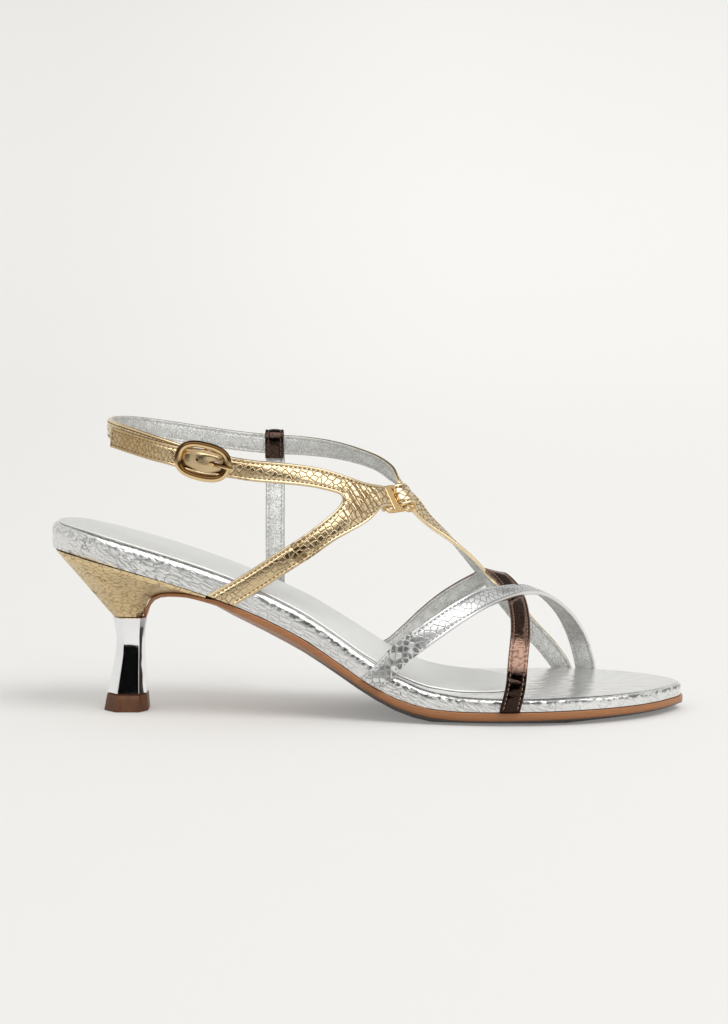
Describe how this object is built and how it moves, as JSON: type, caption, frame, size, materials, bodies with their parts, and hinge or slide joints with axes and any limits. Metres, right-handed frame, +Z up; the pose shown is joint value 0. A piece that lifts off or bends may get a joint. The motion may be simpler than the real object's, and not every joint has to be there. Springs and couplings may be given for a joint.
{
  "type": "strappy heeled sandal",
  "caption": "Right-foot strappy sandal on a low faceted heel, with crossed metallic leather straps over the vamp, a forked quarter strap, a link and a buckled ankle strap.",
  "frame": {"origin": "middle of the sandal's plan, on the floor plane under the heel and the forefoot", "axes": "+X towards the toe, +Y towards the medial side, +Z up"},
  "size_m": [0.2356, 0.0816, 0.1095],
  "materials": {
    "tan_sole": "satin",
    "silver_leather": "metallic embossed",
    "silver_lining": "matte",
    "gold_heel_leather": "metallic embossed",
    "chrome": "polished",
    "brown_lift": "satin",
    "strap_leather": "metallic embossed",
    "quarter_leather": "metallic embossed",
    "gold_metal": "polished",
    "prong_metal": "polished",
    "link_metal": "polished"
  },
  "bodies": {
    "root": {"outsole": "tan_sole", "footbed": "silver_leather", "sock_lining": "silver_lining", "heel_block": "gold_heel_leather", "heel_stem": "chrome", "top_lift": "brown_lift", "upper": "strap_leather", "quarter_strap": "quarter_leather", "buckle_frame": "gold_metal", "buckle_prong": "prong_metal", "strap_link": "link_metal"}
  },
  "joints": []
}
